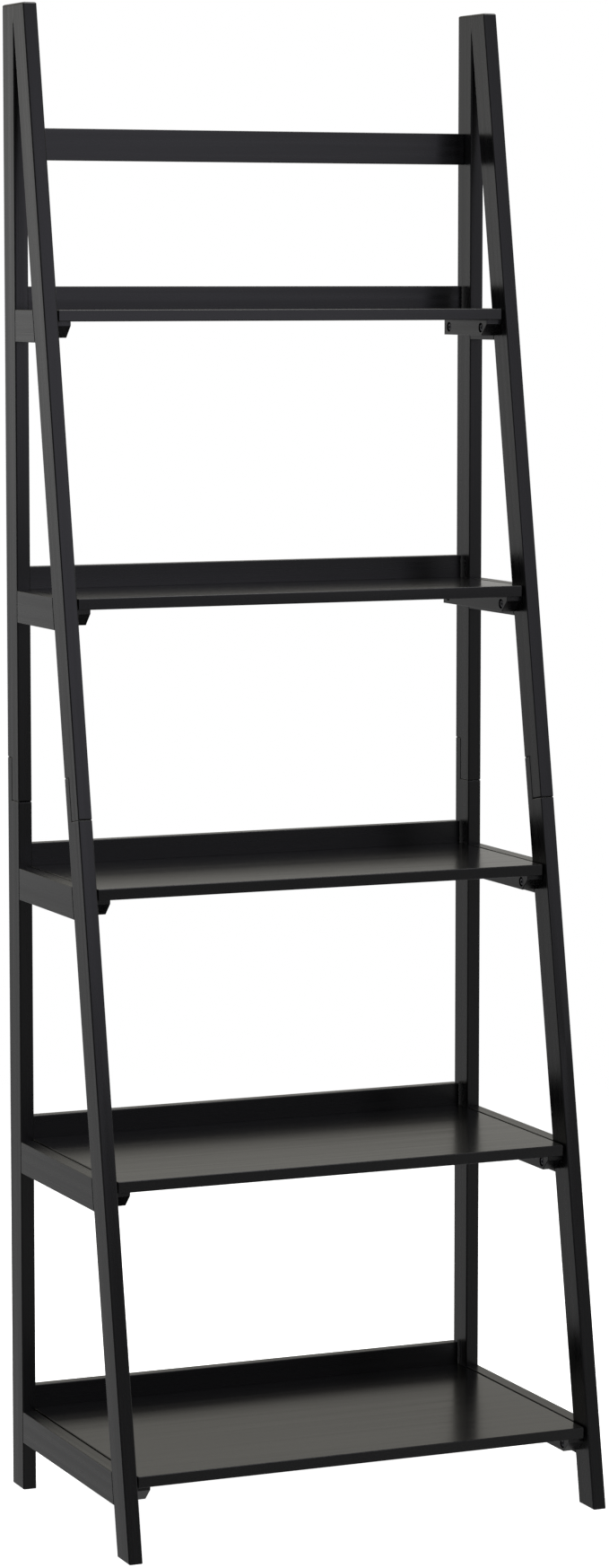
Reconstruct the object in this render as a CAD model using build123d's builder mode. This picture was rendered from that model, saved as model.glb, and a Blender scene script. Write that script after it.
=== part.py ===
from build123d import *
from math import atan2, cos, degrees, sin
import os

# Ladder shelf: two leaning side frames carry five shelves that grow deeper towards the floor.
# Millimetres. X runs to the right, Y to the back, Z up.
# The origin is on the floor, in the middle of the footprint.

# Overall size
height = 1778.0
width = 610.0
depth = 393.0

# Side frames: an upright back post and a leaning front stile, cut from the same flat stock
frame_thickness = 17.0
stock_width = 37.5
apex_depth = 71.5
edge_radius = 1.5
top_radius = 3.0

# Half-lap joint that divides each post and stile at mid-height
lap_middle = 864.0
lap_length = 51.0
lap_front_share = 0.61
lap_seam_radius = 1.7

# Shelves, counted from the floor
shelf_count = 5
first_shelf_top = 96.0
shelf_pitch = 331.5
board_thickness = 13.5
board_front_setback = 3.5
board_side_gap = 2.5
rear_inset = 5.0
board_radius = 1.2

# Raised lip along the back of each shelf, standing in a shallow seat cut in the board
lip_height = 27.0
lip_thickness = 14.0
lip_seat_depth = 1.0

# Cross rails of the side frames, level with the shelf tops
rail_height = 38.0
rail_radius = 1.0

# Top rail between the two back posts
top_rail_top = 1634.5
top_rail_height = 37.5
top_rail_thickness = 14.0

# Cleats under the shelf ends
cleat_width = 20.0
cleat_height = 19.0
cleat_front_setback = 12.0
cleat_nose_height = 5.0
cleat_nose_slope = 15.0
cleat_radius = 0.8

# Button-head bolts with hex sockets, and the threaded inserts that they screw into
bolt_diameter = 6.0
bolt_length = 27.0
bolt_head_diameter = 10.5
bolt_head_height = 3.3
bolt_head_rounding = 2.3
bolt_tip_chamfer = 0.6
bolt_socket_width = 4.0
bolt_socket_depth = 2.4
bolt_recess_diameter = 12.0
bolt_recess_depth = 4.0
front_bolt_setback = 31.0
insert_diameter = 9.0
insert_length = 12.0
insert_groove = 0.4
insert_groove_pitch = 2.5

# Countersunk wood screws through the cleats and the boards, from below
screw_diameter = 4.0
screw_head_diameter = 8.0
screw_length = 28.0
screw_tip_length = 5.0
screw_tip_radius = 0.4
screw_recess_width = 0.8
screw_recess_depth = 1.6
lip_screw_count = 3

# Beech dowels that hold the cross rails, the apex and the top rail
dowel_diameter = 6.0
dowel_length = 24.0
dowel_chamfer = 0.6
rail_dowel_spacing = 26.0
top_rail_dowel_spacing = 18.0

# Room around shanks, inserts and dowels in their bores, and how far before a face each bore starts
bore_clearance = 0.1
bore_overrun = 1.0

# Worked out from the sizes above
rear_y = depth / 2
post_front_y = rear_y - stock_width
lean = atan2(depth - apex_depth, height)
stile_section = stock_width / cos(lean)
inner_x = width / 2 - frame_thickness
frame_middle_x = width / 2 - frame_thickness / 2
shelf_rear_y = rear_y - rear_inset
lip_middle_y = shelf_rear_y - lip_thickness / 2
board_length = 2 * (inner_x - board_side_gap)
shelf_tops = [first_shelf_top + shelf_pitch * step for step in range(shelf_count)]
sides = (("left", -1), ("right", 1))


def stile_front(z):
    """Y of the stile's front face at height z."""
    return -rear_y + (depth - apex_depth) * z / height


def stile_back(z):
    """Y of the stile's back face at height z."""
    return stile_front(z) + stile_section


scarf_bottom = (post_front_y - stile_back(0)) * height / (depth - apex_depth)


def lap_point(front_y, tilt, across, along):
    """A point of a lap joint: across from the front face, along from the lap's middle."""
    y = front_y + across * cos(tilt) + along * sin(tilt)
    z = lap_middle - across * sin(tilt) + along * cos(tilt)
    return (y, z)


def lap_corners(front_y, tilt):
    """The four corners shared by the two halves, from the front face to the back face."""
    step = stock_width * lap_front_share
    return (
        lap_point(front_y, tilt, 0, -lap_length / 2),
        lap_point(front_y, tilt, step, -lap_length / 2),
        lap_point(front_y, tilt, step, lap_length / 2),
        lap_point(front_y, tilt, stock_width, lap_length / 2),
    )


def ease_lap_seams(outline, lap):
    """Round an outline's two corners where the lap meets the front and the back face."""
    for y, z in (lap[0], lap[-1]):
        corner = outline.vertices().sort_by_distance((y, z, 0))[0]
        fillet(corner, radius=lap_seam_radius)


def side_plane(sign):
    """The side view's plane, on the left face of the left or right frame."""
    return Plane.YZ.offset(min(sign * inner_x, sign * width / 2))


def drill(origin, direction, diameter, length):
    """Cut a blind bore into the piece being built."""
    with Locations(Plane(origin=origin, z_dir=direction).offset(-bore_overrun)):
        Cylinder(
            diameter / 2 + bore_clearance,
            bore_overrun + length + bore_clearance,
            align=(Align.CENTER, Align.CENTER, Align.MIN),
            mode=Mode.SUBTRACT,
        )


def save(piece, label):
    """Label a finished piece and write its STEP file."""
    piece.part.label = label
    export_step(piece.part, f"parts/{label}.step")


def place_all(source, planes):
    """One node of identical fasteners, one on each plane."""
    with BuildPart() as group:
        for plane in planes:
            add(source.part.moved(plane.location))
    return group


# Places of the fasteners. Each plane's Z axis points back out of the bore.
def cleat_bolt_points(top):
    """Y and Z of the rear and the front bolt of a cleat."""
    z = top - board_thickness - cleat_height / 2
    return ((rear_y - stock_width / 2, z), (stile_front(z) + front_bolt_setback, z))


def rail_dowel_heights(top):
    """Z of the two dowels at each end of a cross rail."""
    middle = top - rail_height / 2
    return (middle - rail_dowel_spacing / 2, middle + rail_dowel_spacing / 2)


def cleat_screw_points(top):
    """Y of the two screws between a cleat's bolts."""
    rear, front = (y for y, z in cleat_bolt_points(top))
    return (rear + (front - rear) / 3, front + (rear - front) / 3)


def lap_bolt_plane(sign, front_y, tilt):
    """The rear face of a lap, at its middle, facing back."""
    y, z = lap_point(front_y, tilt, stock_width, 0)
    return Plane(origin=(sign * frame_middle_x, y, z), z_dir=(0, cos(tilt), -sin(tilt)))


def lap_insert_plane(sign, front_y, tilt):
    """The meeting face of a lap, at its middle, facing back."""
    y, z = lap_point(front_y, tilt, stock_width * lap_front_share, 0)
    return Plane(origin=(sign * frame_middle_x, y, z), z_dir=(0, cos(tilt), -sin(tilt)))


apex_dowel_z = (scarf_bottom + height) / 2
lap_rear_depth = stock_width * (1 - lap_front_share)
lap_bolt_reach = bolt_length + bolt_recess_depth - lap_rear_depth
top_rail_middle = top_rail_top - top_rail_height / 2
top_rail_dowel_zs = (
    top_rail_middle - top_rail_dowel_spacing / 2,
    top_rail_middle + top_rail_dowel_spacing / 2,
)
stile_at_lap = stile_front(lap_middle)


# Fasteners, each drawn once with its head or mouth at Z = 0 and its body below
with BuildPart() as bolt:
    Cylinder(
        bolt_head_diameter / 2,
        bolt_head_height,
        align=(Align.CENTER, Align.CENTER, Align.MIN),
    )
    fillet(bolt.edges().group_by(Axis.Z)[-1], radius=bolt_head_rounding)
    Cylinder(
        bolt_diameter / 2,
        bolt_length,
        align=(Align.CENTER, Align.CENTER, Align.MAX),
    )
    chamfer(bolt.edges().group_by(Axis.Z)[0], length=bolt_tip_chamfer)
    with BuildSketch(Plane.XY.offset(bolt_head_height)) as socket:
        RegularPolygon(bolt_socket_width / 2, side_count=6, major_radius=False)
    extrude(amount=-bolt_socket_depth, mode=Mode.SUBTRACT)

with BuildPart() as insert:
    Cylinder(
        insert_diameter / 2,
        insert_length,
        align=(Align.CENTER, Align.CENTER, Align.MAX),
    )
    chamfer(insert.edges().group_by(Axis.Z)[0], length=insert_groove)
    for ring in range(1, int(insert_length / insert_groove_pitch)):
        with BuildSketch(Plane.XY.offset(-ring * insert_groove_pitch)) as groove:
            Circle(insert_diameter / 2)
            Circle(insert_diameter / 2 - insert_groove, mode=Mode.SUBTRACT)
        extrude(amount=insert_groove, mode=Mode.SUBTRACT)
    Hole(bolt_diameter / 2 + bore_clearance)

with BuildPart() as screw:
    head_height = (screw_head_diameter - screw_diameter) / 2
    shank_length = screw_length - head_height - screw_tip_length
    Cone(
        screw_diameter / 2,
        screw_head_diameter / 2,
        head_height,
        align=(Align.CENTER, Align.CENTER, Align.MAX),
    )
    with Locations((0, 0, -head_height)):
        Cylinder(
            screw_diameter / 2,
            shank_length,
            align=(Align.CENTER, Align.CENTER, Align.MAX),
        )
    with Locations((0, 0, -head_height - shank_length)):
        Cone(
            screw_tip_radius,
            screw_diameter / 2,
            screw_tip_length,
            align=(Align.CENTER, Align.CENTER, Align.MAX),
        )
    with BuildSketch() as cross_recess:
        Rectangle(screw_diameter, screw_recess_width)
        Rectangle(screw_recess_width, screw_diameter)
    extrude(amount=-screw_recess_depth, mode=Mode.SUBTRACT)

with BuildPart() as dowel:
    Cylinder(dowel_diameter / 2, dowel_length)
    chamfer(dowel.edges().filter_by(GeomType.CIRCLE), length=dowel_chamfer)


def ease_side_edges(piece, radius):
    """Round the edges of both broad side faces of the piece being built."""
    fillet(piece.faces().filter_by(Axis.X).edges(), radius=radius)


def ease_frame_edges(piece):
    """Round the side edges of an upper post or stile, but not its top end or its glue line."""
    side_edges = piece.faces().filter_by(Axis.X).edges()
    eased = [edge for edge in side_edges if edge.center().Z < scarf_bottom]
    fillet(eased, radius=edge_radius)


def bore_for_cleats(sign, tops, seat):
    """Insert bores in the inner face for the rear (0) or front (1) cleat bolts."""
    for top in tops:
        y, z = cleat_bolt_points(top)[seat]
        drill((sign * inner_x, y, z), (sign, 0, 0), insert_diameter, insert_length)


def bore_post_for_rails(sign, tops):
    """Dowel bores in the post's front face."""
    for top in tops:
        for z in rail_dowel_heights(top):
            drill(
                (sign * frame_middle_x, post_front_y, z),
                (0, 1, 0),
                dowel_diameter,
                dowel_length / 2,
            )


def bore_stile_for_rails(sign, tops):
    """Dowel bores in the stile's back face, level with the rail."""
    for top in tops:
        for z in rail_dowel_heights(top):
            drill(
                (sign * frame_middle_x, stile_back(z), z),
                (0, -1, 0),
                dowel_diameter,
                dowel_length / 2,
            )


def bore_lap_front(sign, front_y, tilt):
    """Bore of the lap's insert, and the deeper bore for the bolt's end."""
    seat = lap_insert_plane(sign, front_y, tilt)
    drill(seat.origin, -seat.z_dir, insert_diameter, insert_length)
    drill(seat.origin, -seat.z_dir, bolt_diameter, lap_bolt_reach)


def bore_lap_rear(sign, front_y, tilt):
    """Through bore of the lap bolt, with a recess for its head."""
    with Locations(lap_bolt_plane(sign, front_y, tilt)):
        CounterBoreHole(
            bolt_diameter / 2 + bore_clearance,
            bolt_recess_diameter / 2,
            bolt_recess_depth,
            depth=lap_rear_depth + bore_clearance,
        )


upper_tops = [top for top in shelf_tops if top > lap_middle]
lower_tops = [top for top in shelf_tops if top < lap_middle]

# Side frames
for side, sign in sides:
    post_lap = lap_corners(post_front_y, 0)
    stile_lap = lap_corners(stile_at_lap, lean)

    with BuildPart() as frame_outline:
        with BuildSketch(side_plane(sign)) as outline:
            with BuildLine():
                Polyline(
                    (stile_front(0), 0),
                    (rear_y, 0),
                    (rear_y, height),
                    (stile_front(height), height),
                    close=True,
                )
            make_face()
        extrude(amount=frame_thickness)
        fillet(frame_outline.faces().sort_by(Axis.Z)[-1].edges(), radius=top_radius)
    rounded_top = frame_outline.part

    with BuildPart() as upper_post:
        with BuildSketch(side_plane(sign)) as outline:
            with BuildLine():
                Polyline(*post_lap, (rear_y, height), (post_front_y, height), close=True)
            make_face()
            ease_lap_seams(outline, post_lap)
        extrude(amount=frame_thickness)
        ease_frame_edges(upper_post)
        with BuildSketch(side_plane(sign)) as glue_strip:
            with BuildLine():
                Polyline(
                    (post_front_y, scarf_bottom),
                    (post_front_y + edge_radius, scarf_bottom),
                    (post_front_y + edge_radius, height),
                    (post_front_y, height),
                    close=True,
                )
            make_face()
        extrude(amount=frame_thickness)
        add(rounded_top, mode=Mode.INTERSECT)
        bore_for_cleats(sign, upper_tops, 0)
        bore_post_for_rails(sign, upper_tops)
        bore_lap_front(sign, post_front_y, 0)
        drill(
            (sign * frame_middle_x, post_front_y, apex_dowel_z),
            (0, 1, 0),
            dowel_diameter,
            dowel_length / 2,
        )
        for z in top_rail_dowel_zs:
            drill(
                (sign * inner_x, lip_middle_y, z),
                (sign, 0, 0),
                dowel_diameter,
                dowel_length / 2,
            )
    save(upper_post, f"{side}_post_upper")

    with BuildPart() as lower_post:
        with BuildSketch(side_plane(sign)) as outline:
            with BuildLine():
                Polyline(*post_lap, (rear_y, 0), (post_front_y, 0), close=True)
            make_face()
            ease_lap_seams(outline, post_lap)
        extrude(amount=frame_thickness)
        ease_side_edges(lower_post, edge_radius)
        bore_for_cleats(sign, lower_tops, 0)
        bore_post_for_rails(sign, lower_tops)
        bore_lap_rear(sign, post_front_y, 0)
    save(lower_post, f"{side}_post_lower")

    with BuildPart() as upper_stile:
        with BuildSketch(side_plane(sign)) as outline:
            with BuildLine():
                Polyline(
                    *stile_lap,
                    (post_front_y, scarf_bottom),
                    (post_front_y, height),
                    (stile_front(height), height),
                    close=True,
                )
            make_face()
            ease_lap_seams(outline, stile_lap)
        extrude(amount=frame_thickness)
        ease_frame_edges(upper_stile)
        add(rounded_top, mode=Mode.INTERSECT)
        bore_for_cleats(sign, upper_tops, 1)
        bore_stile_for_rails(sign, upper_tops)
        bore_lap_front(sign, stile_at_lap, lean)
        drill(
            (sign * frame_middle_x, post_front_y, apex_dowel_z),
            (0, -1, 0),
            dowel_diameter,
            dowel_length / 2,
        )
    save(upper_stile, f"{side}_stile_upper")

    with BuildPart() as lower_stile:
        with BuildSketch(side_plane(sign)) as outline:
            with BuildLine():
                Polyline(*stile_lap, (stile_back(0), 0), (stile_front(0), 0), close=True)
            make_face()
            ease_lap_seams(outline, stile_lap)
        extrude(amount=frame_thickness)
        ease_side_edges(lower_stile, edge_radius)
        bore_for_cleats(sign, lower_tops, 1)
        bore_stile_for_rails(sign, lower_tops)
        bore_lap_rear(sign, stile_at_lap, lean)
    save(lower_stile, f"{side}_stile_lower")

    for number, top in enumerate(shelf_tops, 1):
        with BuildPart() as cross_rail:
            bottom = top - rail_height
            with BuildSketch(side_plane(sign)) as outline:
                with BuildLine():
                    Polyline(
                        (stile_back(bottom), bottom),
                        (post_front_y, bottom),
                        (post_front_y, top),
                        (stile_back(top), top),
                        close=True,
                    )
                make_face()
            extrude(amount=frame_thickness)
            ease_side_edges(cross_rail, rail_radius)
            for z in rail_dowel_heights(top):
                drill(
                    (sign * frame_middle_x, post_front_y, z),
                    (0, -1, 0),
                    dowel_diameter,
                    dowel_length / 2,
                )
                drill(
                    (sign * frame_middle_x, stile_back(z), z),
                    (0, 1, 0),
                    dowel_diameter,
                    dowel_length / 2,
                )
        save(cross_rail, f"{side}_rail_{number}")

# Shelves: a board with a lip along its back, on a cleat at each end
for number, top in enumerate(shelf_tops, 1):
    board_front_y = stile_front(top) + board_front_setback
    board_depth = shelf_rear_y - board_front_y
    underside = top - board_thickness
    cleat_middle_x = inner_x - cleat_width / 2
    lip_screw_xs = [
        (index - (lip_screw_count - 1) / 2) * board_length / lip_screw_count
        for index in range(lip_screw_count)
    ]

    with BuildPart() as board:
        with BuildSketch(Plane.XY.offset(underside)):
            with Locations((0, board_front_y + board_depth / 2)):
                Rectangle(board_length, board_depth)
        extrude(amount=board_thickness)
        fillet(board.edges(), radius=board_radius)
        with BuildSketch(Plane.XY.offset(top)):
            with Locations((0, lip_middle_y)):
                Rectangle(board_length, lip_thickness)
        extrude(amount=-lip_seat_depth, mode=Mode.SUBTRACT)
        for x in lip_screw_xs:
            with Locations(Plane(origin=(x, lip_middle_y, underside), z_dir=(0, 0, -1))):
                CounterSinkHole(
                    screw_diameter / 2 + bore_clearance,
                    screw_head_diameter / 2 + bore_clearance,
                    counter_sink_angle=90,
                )
        for side, sign in sides:
            for y in cleat_screw_points(top):
                drill(
                    (sign * cleat_middle_x, y, underside),
                    (0, 0, 1),
                    screw_diameter,
                    screw_length - cleat_height,
                )
    save(board, f"shelf_board_{number}")

    with BuildPart() as lip:
        with BuildSketch(Plane.XY.offset(top - lip_seat_depth)):
            with Locations((0, lip_middle_y)):
                Rectangle(board_length, lip_thickness)
        extrude(amount=lip_seat_depth + lip_height)
        fillet(lip.edges(), radius=board_radius)
        for x in lip_screw_xs:
            drill(
                (x, lip_middle_y, top - lip_seat_depth),
                (0, 0, 1),
                screw_diameter,
                screw_length - board_thickness + lip_seat_depth,
            )
    save(lip, f"shelf_lip_{number}")

    cleat_front_y = stile_front(underside) + cleat_front_setback
    for side, sign in sides:
        with BuildPart() as cleat:
            with BuildSketch(Plane.YZ.offset(min(sign * inner_x, sign * (inner_x - cleat_width)))):
                with BuildLine():
                    Polyline(
                        (shelf_rear_y, underside),
                        (cleat_front_y, underside),
                        (cleat_front_y, underside - cleat_nose_height),
                        (cleat_front_y + cleat_nose_slope, underside - cleat_height),
                        (shelf_rear_y, underside - cleat_height),
                        close=True,
                    )
                make_face()
            extrude(amount=cleat_width)
            ease_side_edges(cleat, cleat_radius)
            for y, z in cleat_bolt_points(top):
                seat = (sign * (inner_x - cleat_width), y, z)
                with Locations(Plane(origin=seat, z_dir=(-sign, 0, 0))):
                    CounterBoreHole(
                        bolt_diameter / 2 + bore_clearance,
                        bolt_recess_diameter / 2,
                        bolt_recess_depth,
                        depth=cleat_width,
                    )
            for y in cleat_screw_points(top):
                seat = (sign * cleat_middle_x, y, underside - cleat_height)
                with Locations(Plane(origin=seat, z_dir=(0, 0, -1))):
                    CounterSinkHole(
                        screw_diameter / 2 + bore_clearance,
                        screw_head_diameter / 2 + bore_clearance,
                        depth=cleat_height,
                        counter_sink_angle=90,
                    )
        save(cleat, f"{side}_cleat_{number}")

    recess_x = inner_x - cleat_width + bolt_recess_depth
    cleat_bolts = place_all(
        bolt,
        [
            Plane(origin=(sign * recess_x, y, z), z_dir=(-sign, 0, 0))
            for side, sign in sides
            for y, z in cleat_bolt_points(top)
        ],
    )
    save(cleat_bolts, f"cleat_bolts_{number}")

    shelf_screws = place_all(
        screw,
        [
            Plane(origin=(x, lip_middle_y, underside), z_dir=(0, 0, -1))
            for x in lip_screw_xs
        ]
        + [
            Plane(origin=(sign * cleat_middle_x, y, underside - cleat_height), z_dir=(0, 0, -1))
            for side, sign in sides
            for y in cleat_screw_points(top)
        ],
    )
    save(shelf_screws, f"shelf_screws_{number}")

# Top rail, doweled between the back posts
with BuildPart() as top_rail:
    with BuildSketch(Plane.XY.offset(top_rail_top - top_rail_height)):
        with Locations((0, lip_middle_y)):
            Rectangle(2 * inner_x, top_rail_thickness)
    extrude(amount=top_rail_height)
    fillet(top_rail.edges(), radius=board_radius)
    for side, sign in sides:
        for z in top_rail_dowel_zs:
            drill(
                (sign * inner_x, lip_middle_y, z),
                (-sign, 0, 0),
                dowel_diameter,
                dowel_length / 2,
            )
save(top_rail, "top_rail")

top_rail_dowels = place_all(
    dowel,
    [
        Plane(origin=(sign * inner_x, lip_middle_y, z), z_dir=(sign, 0, 0))
        for side, sign in sides
        for z in top_rail_dowel_zs
    ],
)
save(top_rail_dowels, "top_rail_dowels")

# Fasteners hidden in the side frames
lap_bolts = place_all(
    bolt,
    [
        lap_bolt_plane(sign, front_y, tilt).offset(-bolt_recess_depth)
        for side, sign in sides
        for front_y, tilt in ((post_front_y, 0), (stile_at_lap, lean))
    ],
)
save(lap_bolts, "lap_bolts")

for side, sign in sides:
    inserts = place_all(
        insert,
        [
            Plane(origin=(sign * inner_x, y, z), z_dir=(-sign, 0, 0))
            for top in shelf_tops
            for y, z in cleat_bolt_points(top)
        ]
        + [
            lap_insert_plane(sign, post_front_y, 0),
            lap_insert_plane(sign, stile_at_lap, lean),
        ],
    )
    save(inserts, f"{side}_inserts")

    rail_dowels = place_all(
        dowel,
        [
            Plane(origin=(sign * frame_middle_x, y, z), z_dir=(0, 1, 0))
            for top in shelf_tops
            for z in rail_dowel_heights(top)
            for y in (post_front_y, stile_back(z))
        ]
        + [Plane(origin=(sign * frame_middle_x, post_front_y, apex_dowel_z), z_dir=(0, 1, 0))],
    )
    save(rail_dowels, f"{side}_dowels")

print("lean of the stiles, degrees:", round(degrees(lean), 2))
print("shelf tops:", shelf_tops)
board_depths = [shelf_rear_y - stile_front(top) - board_front_setback for top in shelf_tops]
print("board depths:", [round(board_depth, 1) for board_depth in board_depths])
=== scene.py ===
# %% [markdown]
# # Black ladder shelf
# This ladder shelf has two side frames and five boards between them, which grow deeper
# towards the floor. Each frame is an upright post behind and a leaning stile in front, which
# meet at the top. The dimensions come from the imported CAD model, which is loaded here as a
# fixed frame. Blender gives it its finish: sprayed black lacquer on the wood, black zinc on
# the bolts, clear zinc on the screws and inserts, and bare beech on the hidden dowels.

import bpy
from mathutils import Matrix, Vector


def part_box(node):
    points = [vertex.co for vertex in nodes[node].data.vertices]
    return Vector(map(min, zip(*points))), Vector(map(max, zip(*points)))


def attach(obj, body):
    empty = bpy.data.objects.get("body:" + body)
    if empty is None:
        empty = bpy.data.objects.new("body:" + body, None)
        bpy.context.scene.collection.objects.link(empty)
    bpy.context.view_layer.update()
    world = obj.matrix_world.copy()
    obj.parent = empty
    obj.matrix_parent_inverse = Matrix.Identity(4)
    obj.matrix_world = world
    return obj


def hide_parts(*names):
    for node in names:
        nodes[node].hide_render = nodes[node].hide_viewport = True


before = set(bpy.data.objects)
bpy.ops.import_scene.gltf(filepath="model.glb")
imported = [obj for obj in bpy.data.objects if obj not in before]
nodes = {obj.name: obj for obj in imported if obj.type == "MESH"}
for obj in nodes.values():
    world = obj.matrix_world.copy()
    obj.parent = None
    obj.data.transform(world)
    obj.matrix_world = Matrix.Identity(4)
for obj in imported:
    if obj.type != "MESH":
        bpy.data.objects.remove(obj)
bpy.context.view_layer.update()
print("CAD nodes:", len(nodes))

# %% Other modules
import math

import bmesh
import bpy
from mathutils import Matrix, Vector

scene = bpy.context.scene
MM = 0.001
QUARTER_TURN = math.radians(90)
print("Blender", bpy.app.version_string)

# %% [markdown]
# ## Camera
# A tall narrow object is seen best through a long lens from a few metres away, because its
# upright lines then stay upright. The camera stands to the left, a little above the middle,
# and looks slightly down. Its place follows from two angles and a distance, which are easier
# to adjust than a position. The Standard view transform shows the colours as they are.

# %% Camera
AIM = Vector((-0.002, 0.001, 0.863))
VIEW_AZIMUTH = math.radians(-23.33)
VIEW_ELEVATION = math.radians(6.37)
VIEW_DISTANCE = 5.39
LENS_MM = 104.44
SENSOR_MM = 36.0

away = Vector((
    math.sin(VIEW_AZIMUTH) * math.cos(VIEW_ELEVATION),
    -math.cos(VIEW_AZIMUTH) * math.cos(VIEW_ELEVATION),
    math.sin(VIEW_ELEVATION),
))
camera_data = bpy.data.cameras.new("camera")
camera_data.lens = LENS_MM
camera_data.sensor_width = SENSOR_MM
camera = bpy.data.objects.new("camera", camera_data)
camera.location = AIM + away * VIEW_DISTANCE
camera.rotation_mode = "QUATERNION"
camera.rotation_quaternion = away.to_track_quat("Z", "Y")
scene.collection.objects.link(camera)
scene.camera = camera
scene.view_settings.view_transform = "Standard"
print("camera at", [round(value, 3) for value in camera.location])

# %% [markdown]
# ## Adding nodes
# Each material and the world are small networks of nodes. One function adds a node, sets its
# own settings, and fills its sockets: with a value, or with a link when it is given another
# node's output. Colours are written as the hex values that a paint chart gives, and turned
# into the linear light that the renderer works in.


# %% Node helper
# A Mix node has sockets for every type that it can mix. These are the ones for colours.
FACTOR, FIRST, SECOND, MIXED = 0, 6, 7, 2


def add_node(tree, kind, sockets=None, **settings):
    """Add a node of this kind to the tree, with its settings, socket values and links."""
    node = tree.nodes.new(kind)
    for name, value in settings.items():
        setattr(node, name, value)
    for socket, value in (sockets or {}).items():
        if isinstance(value, bpy.types.NodeSocket):
            tree.links.new(value, node.inputs[socket])
        else:
            node.inputs[socket].default_value = value
    return node


def linear(hex_colour):
    """Linear RGBA of an sRGB colour such as "1c1c1e"."""
    channels = [int(hex_colour[start:start + 2], 16) / 255 for start in (0, 2, 4)]
    return tuple(
        (c / 12.92 if c <= 0.04045 else ((c + 0.055) / 1.055) ** 2.4) for c in channels
    ) + (1.0,)


WHITE = linear("ffffff")
print("mid grey in linear light:", round(linear("808080")[0], 3))

# %% [markdown]
# ## Studio
# Black lacquer shows almost no colour of its own: nearly all the light that it sends back is
# a reflection of the room. So the room decides how it looks. The room could be modelled, but
# a world whose brightness depends on the direction is simpler and quicker. This one has a
# pale back wall, brightest at eye level and slightly warm above it, and a darker front. The
# camera itself sees plain white instead. One large soft light hangs in front and one
# overhead.

# %% Studio walls
# Each stop is how far the direction goes along one axis, from -1 to 1, and a brightness.
BACK_RISE = (
    (-0.16, 0.44), (-0.07, 0.54), (0.0, 0.80), (0.05, 0.80), (0.13, 0.46), (0.3, 0.42),
)
BACK_TURN = ((-0.6, 0.25), (-0.2, 1.0), (0.25, 0.77))
FRONT_RISE = ((-0.2, 0.34), (-0.05, 0.28), (0.05, 0.24), (0.3, 0.22))
FRONT_TURN = ((0.25, 0.35), (0.6, 1.0))
BACK_FROM = 0.4
WARM_FROM = 0.2
WARM_TINT = linear("fffcf2")
WALL_STRENGTH = 1.3


def add_brightness(tree, component, stops):
    """Brightness along one component of the direction, from stops of both."""
    spread = add_node(
        tree, "ShaderNodeMapRange", {"Value": component, "From Min": -1, "From Max": 1}
    )
    ramp = add_node(tree, "ShaderNodeValToRGB", {"Fac": spread.outputs["Result"]})
    points = ramp.color_ramp.elements
    points.remove(points[1])
    points[0].position = stops[0][0] / 2 + 0.5
    points[0].color = (stops[0][1],) * 3 + (1.0,)
    for reach, brightness in stops[1:]:
        points.new(reach / 2 + 0.5).color = (brightness,) * 3 + (1.0,)
    return ramp.outputs["Color"]


def add_walls(tree, along, rise, turn):
    """Walls whose brightness is that of their height times that of their side."""
    walls = add_node(
        tree, "ShaderNodeMix",
        {FACTOR: 1.0, FIRST: add_brightness(tree, along["Z"], rise),
         SECOND: add_brightness(tree, along["X"], turn)},
        data_type="RGBA", blend_type="MULTIPLY",
    )
    return walls.outputs[MIXED]


# %% Studio world
world = bpy.data.worlds.new("studio")
scene.world = world
world.use_nodes = True
tree = world.node_tree
tree.nodes.clear()
direction = add_node(tree, "ShaderNodeTexCoord")
along = add_node(tree, "ShaderNodeSeparateXYZ", {0: direction.outputs["Generated"]}).outputs
upwards = add_node(
    tree, "ShaderNodeMapRange", {"Value": along["Z"], "From Min": 0.0, "From Max": WARM_FROM}
)
tint = add_node(
    tree, "ShaderNodeMix",
    {FACTOR: upwards.outputs["Result"], FIRST: WHITE, SECOND: WARM_TINT}, data_type="RGBA",
)
back_walls = add_node(
    tree, "ShaderNodeMix",
    {FACTOR: 1.0, FIRST: add_walls(tree, along, BACK_RISE, BACK_TURN),
     SECOND: tint.outputs[MIXED]},
    data_type="RGBA", blend_type="MULTIPLY",
)
backwards = add_node(
    tree, "ShaderNodeMapRange",
    {"Value": along["Y"], "From Min": -BACK_FROM, "From Max": BACK_FROM},
    interpolation_type="SMOOTHSTEP",
)
around = add_node(
    tree, "ShaderNodeMix",
    {FACTOR: backwards.outputs["Result"],
     FIRST: add_walls(tree, along, FRONT_RISE, FRONT_TURN),
     SECOND: back_walls.outputs[MIXED]},
    data_type="RGBA",
)
walls = add_node(
    tree, "ShaderNodeBackground",
    {"Color": around.outputs[MIXED], "Strength": WALL_STRENGTH},
)
backdrop = add_node(tree, "ShaderNodeBackground", {"Color": WHITE, "Strength": 1.0})
seen_by = add_node(tree, "ShaderNodeLightPath")
room = add_node(
    tree, "ShaderNodeMixShader",
    {"Fac": seen_by.outputs["Is Camera Ray"], 1: walls.outputs["Background"],
     2: backdrop.outputs["Background"]},
)
add_node(tree, "ShaderNodeOutputWorld", {"Surface": room.outputs["Shader"]})
print("nodes in the studio world:", len(tree.nodes))


# %% Soft lights
# name, place, target, size in metres, radiance, tint
SOFT_LIGHTS = (
    ("front_light", (0.5, -2.6, 2.0), (0.2, 0.0, 1.35), (2.2, 1.95), 0.8, "f0eeff"),
    ("top_light", (0.0, 0.2, 3.6), (0.0, 0.0, 0.0), (3.0, 3.0), 3.4, "ffffff"),
)


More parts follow.
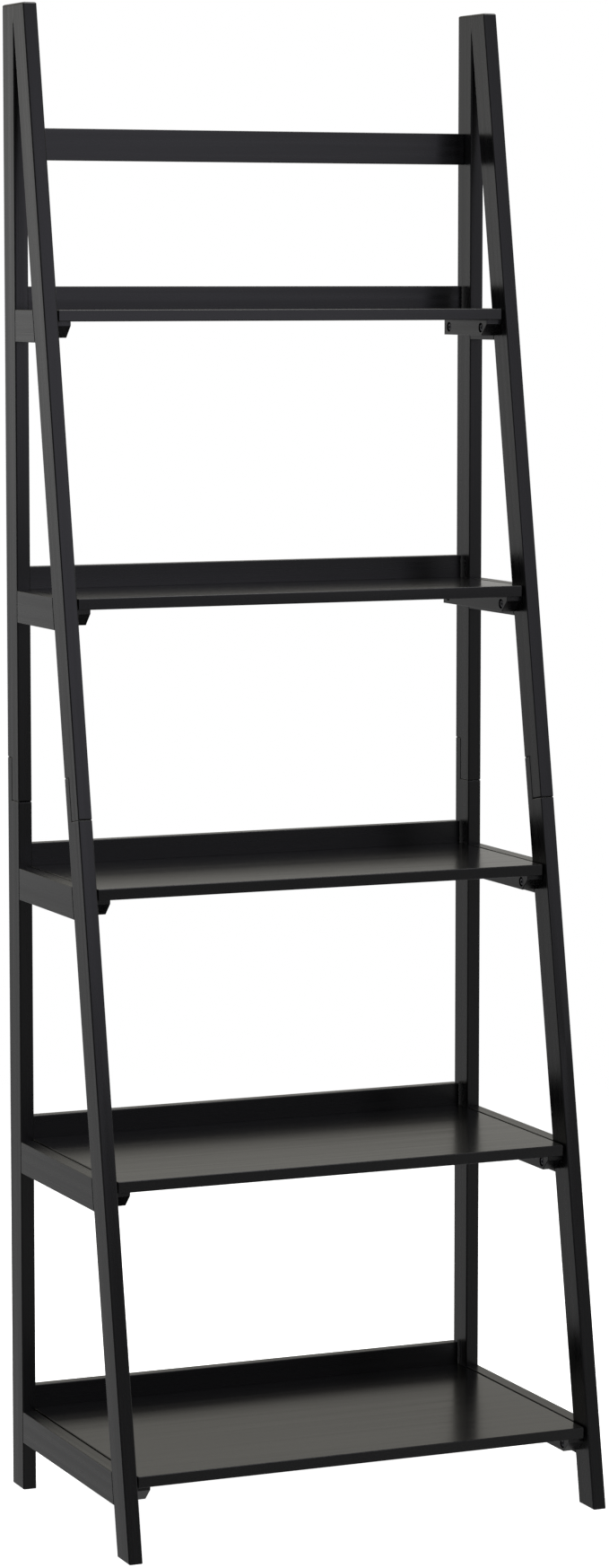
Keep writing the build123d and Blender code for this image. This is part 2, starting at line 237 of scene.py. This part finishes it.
def add_soft_light(name, place, target, size, radiance, tint):
    """A rectangular soft light at a place, facing a target, with this radiance all over."""
    data = bpy.data.lights.new(name, "AREA")
    data.shape = "RECTANGLE"
    data.size, data.size_y = size
    data.energy = radiance * math.pi * size[0] * size[1]
    data.color = linear(tint)[:3]
    light = bpy.data.objects.new(name, data)
    light.location = place
    light.rotation_mode = "QUATERNION"
    light.rotation_quaternion = (Vector(place) - Vector(target)).to_track_quat("Z", "Y")
    light.visible_camera = False
    scene.collection.objects.link(light)
    print(name, "watts:", round(data.energy, 1))


for settings in SOFT_LIGHTS:
    add_soft_light(*settings)

# %% [markdown]
# ## Floor
# The floor is a pale matt sweep of translucent sheet. It has no lamp below it, but it glows
# of its own, which is painted light: it washes out nearly all of the shadow. It is a disc that
# fades out towards its rim, so that it runs into the white background. Reflections leave it
# out and show the world's walls.

# %% Floor
FLOOR_RADIUS = 3.2
FLOOR_STEPS = 96
FADE_FROM = 0.9
FADE_TO = FLOOR_RADIUS * 0.95
FLOOR_ROUGHNESS = 0.85
# The floor's own glow: painted light in place of a lamp below, which washes out the shadow.
FLOOR_GLOW = 0.97


def empty_material(name):
    """A material of this name, and its tree of nodes with nothing in it."""
    material = bpy.data.materials.new(name)
    material.use_nodes = True
    material.node_tree.nodes.clear()
    return material, material.node_tree


floor_paint, tree = empty_material("pale_matt_sweep")
place = add_node(tree, "ShaderNodeTexCoord")
reach = add_node(
    tree, "ShaderNodeVectorMath", {0: place.outputs["Object"]}, operation="LENGTH"
)
fade = add_node(
    tree, "ShaderNodeMapRange",
    {"Value": reach.outputs["Value"], "From Min": FADE_FROM, "From Max": FADE_TO},
    interpolation_type="SMOOTHERSTEP",
)
matt = add_node(
    tree, "ShaderNodeBsdfPrincipled",
    {"Base Color": linear("f7f7f6"), "Roughness": FLOOR_ROUGHNESS,
     "Emission Color": WHITE, "Emission Strength": FLOOR_GLOW},
)
clear = add_node(tree, "ShaderNodeBsdfTransparent")
surface = add_node(
    tree, "ShaderNodeMixShader",
    {"Fac": fade.outputs["Result"], 1: matt.outputs["BSDF"], 2: clear.outputs["BSDF"]},
)
add_node(tree, "ShaderNodeOutputMaterial", {"Surface": surface.outputs["Shader"]})

floor_mesh = bpy.data.meshes.new("floor")
disc = bmesh.new()
bmesh.ops.create_circle(disc, cap_ends=True, radius=FLOOR_RADIUS, segments=FLOOR_STEPS)
disc.to_mesh(floor_mesh)
disc.free()
floor_mesh.materials.append(floor_paint)
floor = bpy.data.objects.new("floor", floor_mesh)
scene.collection.objects.link(floor)
floor.visible_glossy = False
print("floor radius in metres:", FLOOR_RADIUS)

# %% [markdown]
# ## Patterns that the finishes share
# Wood grain, streaks in a film and the crystals of a zinc coat are all one kind of pattern:
# soft noise whose cells have a length and a width in millimetres. Wear is another: a film is
# rubbed thinner where a face turns into an edge, which a rounded normal finds. The finishes
# also use this edge mask for a painted highlight, a lighter colour along the edges.


# %% Shared patterns
NOISE_ROUGHNESS = 0.5
# Nearly all of a noise lies between these two values.
NOISE_LOW, NOISE_HIGH = 0.3, 0.7
# The cosine between the rounded and the true normal: on a flat face, and well into an edge.
FLAT_COSINE, EDGE_COSINE = 0.99, 0.85
EDGE_SAMPLES = 6


def add_noise(tree, turn, length_mm, width_mm, detail):
    """Noise in Object coordinates turned by turn: cells this long along X, and this wide."""
    place = add_node(tree, "ShaderNodeTexCoord")
    turned = add_node(
        tree, "ShaderNodeMapping", {"Vector": place.outputs["Object"], "Rotation": turn}
    )
    along, across = 1 / (length_mm * MM), 1 / (width_mm * MM)
    cells = add_node(
        tree, "ShaderNodeVectorMath",
        {0: turned.outputs["Vector"], 1: (along, across, across)}, operation="MULTIPLY",
    )
    noise = add_node(
        tree, "ShaderNodeTexNoise",
        {"Vector": cells.outputs["Vector"], "Scale": 1.0, "Detail": detail,
         "Roughness": NOISE_ROUGHNESS},
    )
    return noise.outputs["Fac"]


def add_edge_mask(tree, width_mm, strength):
    """A mask that rises to strength at edges, within this width, and is 0 on flat faces."""
    rounded = add_node(
        tree, "ShaderNodeBevel", {"Radius": width_mm * MM}, samples=EDGE_SAMPLES
    )
    surface = add_node(tree, "ShaderNodeNewGeometry")
    flatness = add_node(
        tree, "ShaderNodeVectorMath",
        {0: rounded.outputs["Normal"], 1: surface.outputs["True Normal"]},
        operation="DOT_PRODUCT",
    )
    mask = add_node(
        tree, "ShaderNodeMapRange",
        {"Value": flatness.outputs["Value"], "From Min": FLAT_COSINE,
         "From Max": EDGE_COSINE, "To Min": 0.0, "To Max": strength},
    )
    return mask.outputs["Result"]


# %% [markdown]
# ## Black lacquer on wood
# The wood is sanded, sprayed with a black nitrocellulose or acrylic lacquer, and sanded and
# sprayed again. What is left for the eye is a semi-gloss film, very dark, that follows the
# wood's grain a little: long shallow furrows, a millimetre or two apart and many
# centimetres long. Over them lies the fine pebbling of a sprayed film. On the edges the film
# is thinner, and handling has polished it, so they look a touch lighter. Their colour is
# made much lighter than that as well, as a painted highlight along the edges.
#
# The grain runs along each piece, so there is one material for each direction that pieces
# run in: upright, leaning, across the depth, and along the width. The boards have one of
# their own, because they are rubbed smoother than the frames.

# %% Lacquer settings
LACQUER_IOR = 1.5
LACQUER_DARK = linear("060607")
LACQUER_LIGHT = linear("0b0b0c")
# The edge colour is partly thinned, polished film and partly a painted highlight along the
# edges.
LACQUER_WORN_AND_HIGHLIT_EDGE = linear("3a393a")
GRAIN_WIDTH_MM = 1.8
GRAIN_LENGTH_MM = 140.0
STREAK_WIDTH_MM = 7.0
STREAK_LENGTH_MM = 600.0
PEBBLE_MM = 3.0
PEBBLE_STRENGTH = 0.1
RELIEF_MM = 0.05  # the depth of grain and pebbling at full strength
EDGE_MM = 1.0
# How far the edges go towards that colour: wear and painted highlight together.
EDGE_WEAR_AND_HIGHLIGHT = 0.8
print("lacquer in linear light:", [round(value, 4) for value in LACQUER_DARK[:3]])


# %% Lacquer
def black_lacquer(name, turn, furrow, roughness, stretch=0.0):
    """Black lacquer over grain that runs along X once Object coordinates are turned by turn.

    furrow is how strongly the grain shows, roughness is (lowest, highest), and stretch draws
    reflections out level, which on a standing piece is across the grain."""
    material, tree = empty_material(name)
    grain = add_noise(tree, turn, GRAIN_LENGTH_MM, GRAIN_WIDTH_MM, detail=3.0)
    streaks = add_noise(tree, turn, STREAK_LENGTH_MM, STREAK_WIDTH_MM, detail=2.0)
    pebble = add_noise(tree, turn, PEBBLE_MM, PEBBLE_MM, detail=1.0)
    film = add_node(
        tree, "ShaderNodeMix",
        {FACTOR: streaks, FIRST: LACQUER_DARK, SECOND: LACQUER_LIGHT}, data_type="RGBA",
    )
    # The edges take the lighter colour: thinned, polished film and a painted highlight.
    colour = add_node(
        tree, "ShaderNodeMix",
        {FACTOR: add_edge_mask(tree, EDGE_MM, EDGE_WEAR_AND_HIGHLIGHT), FIRST: film.outputs[MIXED],
         SECOND: LACQUER_WORN_AND_HIGHLIT_EDGE},
        data_type="RGBA",
    )
    sheen = add_node(
        tree, "ShaderNodeMapRange",
        {"Value": streaks, "From Min": NOISE_LOW, "From Max": NOISE_HIGH,
         "To Min": roughness[0], "To Max": roughness[1]},
    )
    pebbled = add_node(
        tree, "ShaderNodeBump",
        {"Height": pebble, "Strength": PEBBLE_STRENGTH, "Distance": RELIEF_MM * MM},
    )
    furrowed = add_node(
        tree, "ShaderNodeBump",
        {"Height": grain, "Strength": furrow, "Distance": RELIEF_MM * MM,
         "Normal": pebbled.outputs["Normal"]},
    )
    sockets = {
        "Base Color": colour.outputs[MIXED], "Roughness": sheen.outputs["Result"],
        "IOR": LACQUER_IOR, "Normal": furrowed.outputs["Normal"],
    }
    if stretch:
        level = add_node(tree, "ShaderNodeTangent", direction_type="RADIAL", axis="Z")
        sockets["Tangent"] = level.outputs["Tangent"]
        sockets["Anisotropic"] = stretch
    lacquer = add_node(tree, "ShaderNodeBsdfPrincipled", sockets)
    add_node(tree, "ShaderNodeOutputMaterial", {"Surface": lacquer.outputs["BSDF"]})
    print(name, "nodes:", len(tree.nodes))
    return material


# %% Lacquer for each direction
LEAN = math.radians(10.25)
ALONG_X = (0, 0, 0)
ALONG_Y = (0, 0, QUARTER_TURN)
ALONG_Z = (0, QUARTER_TURN, 0)
ALONG_STILE = (LEAN, QUARTER_TURN, 0)
STANDING = {"furrow": 0.16, "roughness": (0.24, 0.32), "stretch": 0.5}
LEVEL = {"furrow": 0.09, "roughness": (0.24, 0.32)}
SMOOTH = {"furrow": 0.04, "roughness": (0.18, 0.24)}
UPRIGHT = black_lacquer("black_lacquer_upright", ALONG_Z, **STANDING)
LEANING = black_lacquer("black_lacquer_leaning", ALONG_STILE, **STANDING)
ACROSS = black_lacquer("black_lacquer_across", ALONG_Y, **LEVEL)
ALONG = black_lacquer("black_lacquer_along", ALONG_X, **LEVEL)
BOARD = black_lacquer("black_lacquer_board", ALONG_X, **SMOOTH)

# %% [markdown]
# ## Plated steel
# The bolts are steel with a black zinc coat, the screws and inserts have a clear zinc coat.
# Both coats are thin layers of metal crystals, which give a faint mottle in colour and gloss,
# and finer pits. Real ones are too fine to see from here, so they are drawn about a
# millimetre and a third of a millimetre across. On rims the coat is rubbed bright by tools,
# and the rim colour is made lighter still, as a painted highlight.
# A metal's colour only tints what it reflects, so the black zinc is a middling grey here: in
# the dark recesses of the cleats it still looks nearly black.

# %% Plated steel
MOTTLE_MM = 1.4
PIT_MM = 0.3
PIT_STRENGTH = 0.15
PIT_DEPTH_MM = 0.02
RIM_MM = 0.35
# How far the rims go towards their lighter colour: rubbed coat and painted highlight together.
RIM_WEAR_AND_HIGHLIGHT = 0.5


def plated_steel(name, dark, light, rim, roughness):
    """Plated steel mottled between two colours, with rims of a third that is wear and painted
    highlight; roughness is a range.
    """
    material, tree = empty_material(name)
    mottle = add_noise(tree, ALONG_X, MOTTLE_MM, MOTTLE_MM, detail=3.0)
    pits = add_noise(tree, ALONG_X, PIT_MM, PIT_MM, detail=1.0)
    coat = add_node(
        tree, "ShaderNodeMix",
        {FACTOR: mottle, FIRST: linear(dark), SECOND: linear(light)}, data_type="RGBA",
    )
    # The rims take the lighter colour: the coat rubbed bright, and a painted highlight.
    colour = add_node(
        tree, "ShaderNodeMix",
        {FACTOR: add_edge_mask(tree, RIM_MM, RIM_WEAR_AND_HIGHLIGHT), FIRST: coat.outputs[MIXED],
         SECOND: linear(rim)},
        data_type="RGBA",
    )
    gloss = add_node(
        tree, "ShaderNodeMapRange",
        {"Value": mottle, "From Min": NOISE_LOW, "From Max": NOISE_HIGH,
         "To Min": roughness[0], "To Max": roughness[1]},
    )
    pitted = add_node(
        tree, "ShaderNodeBump",
        {"Height": pits, "Strength": PIT_STRENGTH, "Distance": PIT_DEPTH_MM * MM},
    )
    steel = add_node(
        tree, "ShaderNodeBsdfPrincipled",
        {"Base Color": colour.outputs[MIXED], "Metallic": 1.0,
         "Roughness": gloss.outputs["Result"], "Normal": pitted.outputs["Normal"]},
    )
    add_node(tree, "ShaderNodeOutputMaterial", {"Surface": steel.outputs["BSDF"]})
    print(name, "nodes:", len(tree.nodes))
    return material


# The third colour of each is its rims': rubbed coat, made lighter still as a painted
# highlight.
BLACK_ZINC = plated_steel("black_zinc_plate", "5c5c62", "7a7a80", "b0b0b4", (0.22, 0.34))
CLEAR_ZINC = plated_steel("clear_zinc_plate", "8e9298", "b9bcc0", "d0d2d4", (0.3, 0.45))

# %% [markdown]
# ## Beech
# The dowels are bare beech, a pale pinkish-brown wood with a fine straight grain and short
# darker flecks, the rays. Turned and pressed, they have a dull surface.

# %% Beech
BEECH_GRAIN_MM = (30.0, 0.6)
BEECH_FLECK_MM = (2.5, 0.35)
BEECH_PALE, BEECH_DARK, BEECH_RAY = linear("d8b48c"), linear("b98d63"), linear("8f6440")
BEECH_IOR = 1.5
BEECH_ROUGHNESS = (0.55, 0.72)
FLECK_FROM, FLECK_TO = 0.58, 0.7
FIBRE_STRENGTH = 0.3


def bare_beech(name, turn):
    """Bare beech whose grain runs along X once Object coordinates are turned by turn."""
    material, tree = empty_material(name)
    grain = add_noise(tree, turn, *BEECH_GRAIN_MM, detail=3.0)
    flecks = add_noise(tree, turn, *BEECH_FLECK_MM, detail=1.0)
    rays = add_node(
        tree, "ShaderNodeMapRange",
        {"Value": flecks, "From Min": FLECK_FROM, "From Max": FLECK_TO},
    )
    wood = add_node(
        tree, "ShaderNodeMix",
        {FACTOR: grain, FIRST: BEECH_DARK, SECOND: BEECH_PALE}, data_type="RGBA",
    )
    colour = add_node(
        tree, "ShaderNodeMix",
        {FACTOR: rays.outputs["Result"], FIRST: wood.outputs[MIXED], SECOND: BEECH_RAY},
        data_type="RGBA",
    )
    dull = add_node(
        tree, "ShaderNodeMapRange",
        {"Value": grain, "To Min": BEECH_ROUGHNESS[0], "To Max": BEECH_ROUGHNESS[1]},
    )
    fibres = add_node(
        tree, "ShaderNodeBump",
        {"Height": grain, "Strength": FIBRE_STRENGTH, "Distance": RELIEF_MM * MM},
    )
    beech = add_node(
        tree, "ShaderNodeBsdfPrincipled",
        {"Base Color": colour.outputs[MIXED], "Roughness": dull.outputs["Result"],
         "IOR": BEECH_IOR, "Normal": fibres.outputs["Normal"]},
    )
    add_node(tree, "ShaderNodeOutputMaterial", {"Surface": beech.outputs["BSDF"]})
    print(name, "nodes:", len(tree.nodes))
    return material


BEECH_ALONG = bare_beech("bare_beech_along", ALONG_X)
BEECH_ACROSS = bare_beech("bare_beech_across", ALONG_Y)

# %% [markdown]
# ## Giving the pieces their finish
# The shapes of all pieces but the cleat bolts are right as they are in the CAD model, so they
# only take a finish. The first of these words that a node's name holds says which.

# %% Finishes of the CAD pieces
FINISHES = (
    ("bolts", BLACK_ZINC), ("screws", CLEAR_ZINC), ("inserts", CLEAR_ZINC),
    ("top_rail_dowels", BEECH_ALONG), ("dowels", BEECH_ACROSS), ("post", UPRIGHT),
    ("stile", LEANING), ("board", BOARD), ("lip", ALONG), ("top_rail", ALONG),
    ("cleat", ACROSS), ("rail", ACROSS),
)

for name, piece in nodes.items():
    finish = next(material for word, material in FINISHES if word in name)
    for slot in piece.material_slots:
        slot.material = finish
    print(f"{name:18} {finish.name}")

# %% [markdown]
# ## Button-head bolts
# Each cleat is held by two M6 button-head bolts with hex sockets. Such a head is cold-forged:
# a low dome that a punch opens into a hexagon. The dome is a profile turned round an axis.
# The hexagon is bridged to its upper rim and drawn down into a socket. One bolt is made once
# and copied to its four places under each shelf, which follow from the CAD node's box.

# %% One bolt
# Radius and height of each point of the profile, from the shank's tip to the socket's rim.
BOLT_PROFILE_MM = (
    (0.0, -27.0), (2.4, -27.0), (3.0, -26.4), (3.0, 0.0), (5.1, 0.0), (5.25, 0.15),
    (5.25, 0.9), (5.08, 1.55), (4.7, 2.2), (4.1, 2.75), (3.4, 3.13), (2.75, 3.3),
)
BOLT_STEPS = 36
SHANK_LENGTH = -BOLT_PROFILE_MM[0][1] * MM
HEAD_RADIUS = max(radius for radius, rise in BOLT_PROFILE_MM) * MM
HEAD_TOP = BOLT_PROFILE_MM[-1][1] * MM
SOCKET_WIDTH = 4.0 * MM
SOCKET_DEPTH = 2.4 * MM
SOCKET_SIDES = 6
SOCKET_CORNER = SOCKET_WIDTH / 2 / math.cos(math.pi / SOCKET_SIDES)
MERGE_WITHIN = 0.001 * MM
SHARP_FROM = math.radians(28)

one_bolt = bmesh.new()
chain = [
    one_bolt.verts.new((radius * MM, 0, rise * MM)) for radius, rise in BOLT_PROFILE_MM
]
edges = [one_bolt.edges.new(pair) for pair in zip(chain, chain[1:])]
bmesh.ops.spin(
    one_bolt, geom=chain + edges, cent=(0, 0, 0), axis=(0, 0, 1), angle=2 * math.pi,
    steps=BOLT_STEPS, use_merge=True,
)
bmesh.ops.remove_doubles(one_bolt, verts=one_bolt.verts, dist=MERGE_WITHIN)
rim = [edge for edge in one_bolt.edges if edge.is_boundary]
hexagon = bmesh.ops.create_circle(
    one_bolt, radius=SOCKET_CORNER, segments=SOCKET_SIDES,
    matrix=Matrix.Translation((0, 0, HEAD_TOP)),
)["verts"]
mouth = [edge for edge in one_bolt.edges if edge.verts[0] in hexagon]
bmesh.ops.bridge_loops(one_bolt, edges=rim + mouth)
deeper = bmesh.ops.extrude_edge_only(one_bolt, edges=mouth)["geom"]
bottom = [item for item in deeper if isinstance(item, bmesh.types.BMVert)]
bmesh.ops.translate(one_bolt, verts=bottom, vec=(0, 0, -SOCKET_DEPTH))
bmesh.ops.contextual_create(one_bolt, geom=bottom)
bmesh.ops.recalc_face_normals(one_bolt, faces=one_bolt.faces)
for face in one_bolt.faces:
    face.smooth = True
for edge in one_bolt.edges:
    edge.smooth = edge.calc_face_angle() < SHARP_FROM
bolt_mesh = bpy.data.meshes.new("bolt")
one_bolt.to_mesh(bolt_mesh)
one_bolt.free()
print("faces in one bolt:", len(bolt_mesh.polygons))

# %% Bolts of each shelf
bolt_nodes = sorted(name for name in nodes if name.startswith("cleat_bolts_"))
for node_name in bolt_nodes:
    number = node_name.split("_")[-1]
    low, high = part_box(node_name)
    shape = bmesh.new()
    for tip_x, outwards in ((low.x, -1), (high.x, 1)):
        turned = Matrix.Rotation(-outwards * QUARTER_TURN, 4, "Y")
        for bolt_y in (low.y + HEAD_RADIUS, high.y - HEAD_RADIUS):
            seat = Vector((tip_x - outwards * SHANK_LENGTH, bolt_y, (low.z + high.z) / 2))
            first_new = len(shape.verts)
            shape.from_mesh(bolt_mesh)
            shape.verts.ensure_lookup_table()
            bmesh.ops.transform(
                shape, verts=shape.verts[first_new:],
                matrix=Matrix.Translation(seat) @ turned,
            )
    mesh = bpy.data.meshes.new(f"bolts_under_shelf_{number}")
    shape.to_mesh(mesh)
    shape.free()
    mesh.materials.append(BLACK_ZINC)
    bolts = bpy.data.objects.new(f"bolts_under_shelf_{number}", mesh)
    scene.collection.objects.link(bolts)
    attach(bolts, "root")
    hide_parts(node_name)
    print(bolts.name, "faces:", len(mesh.polygons))
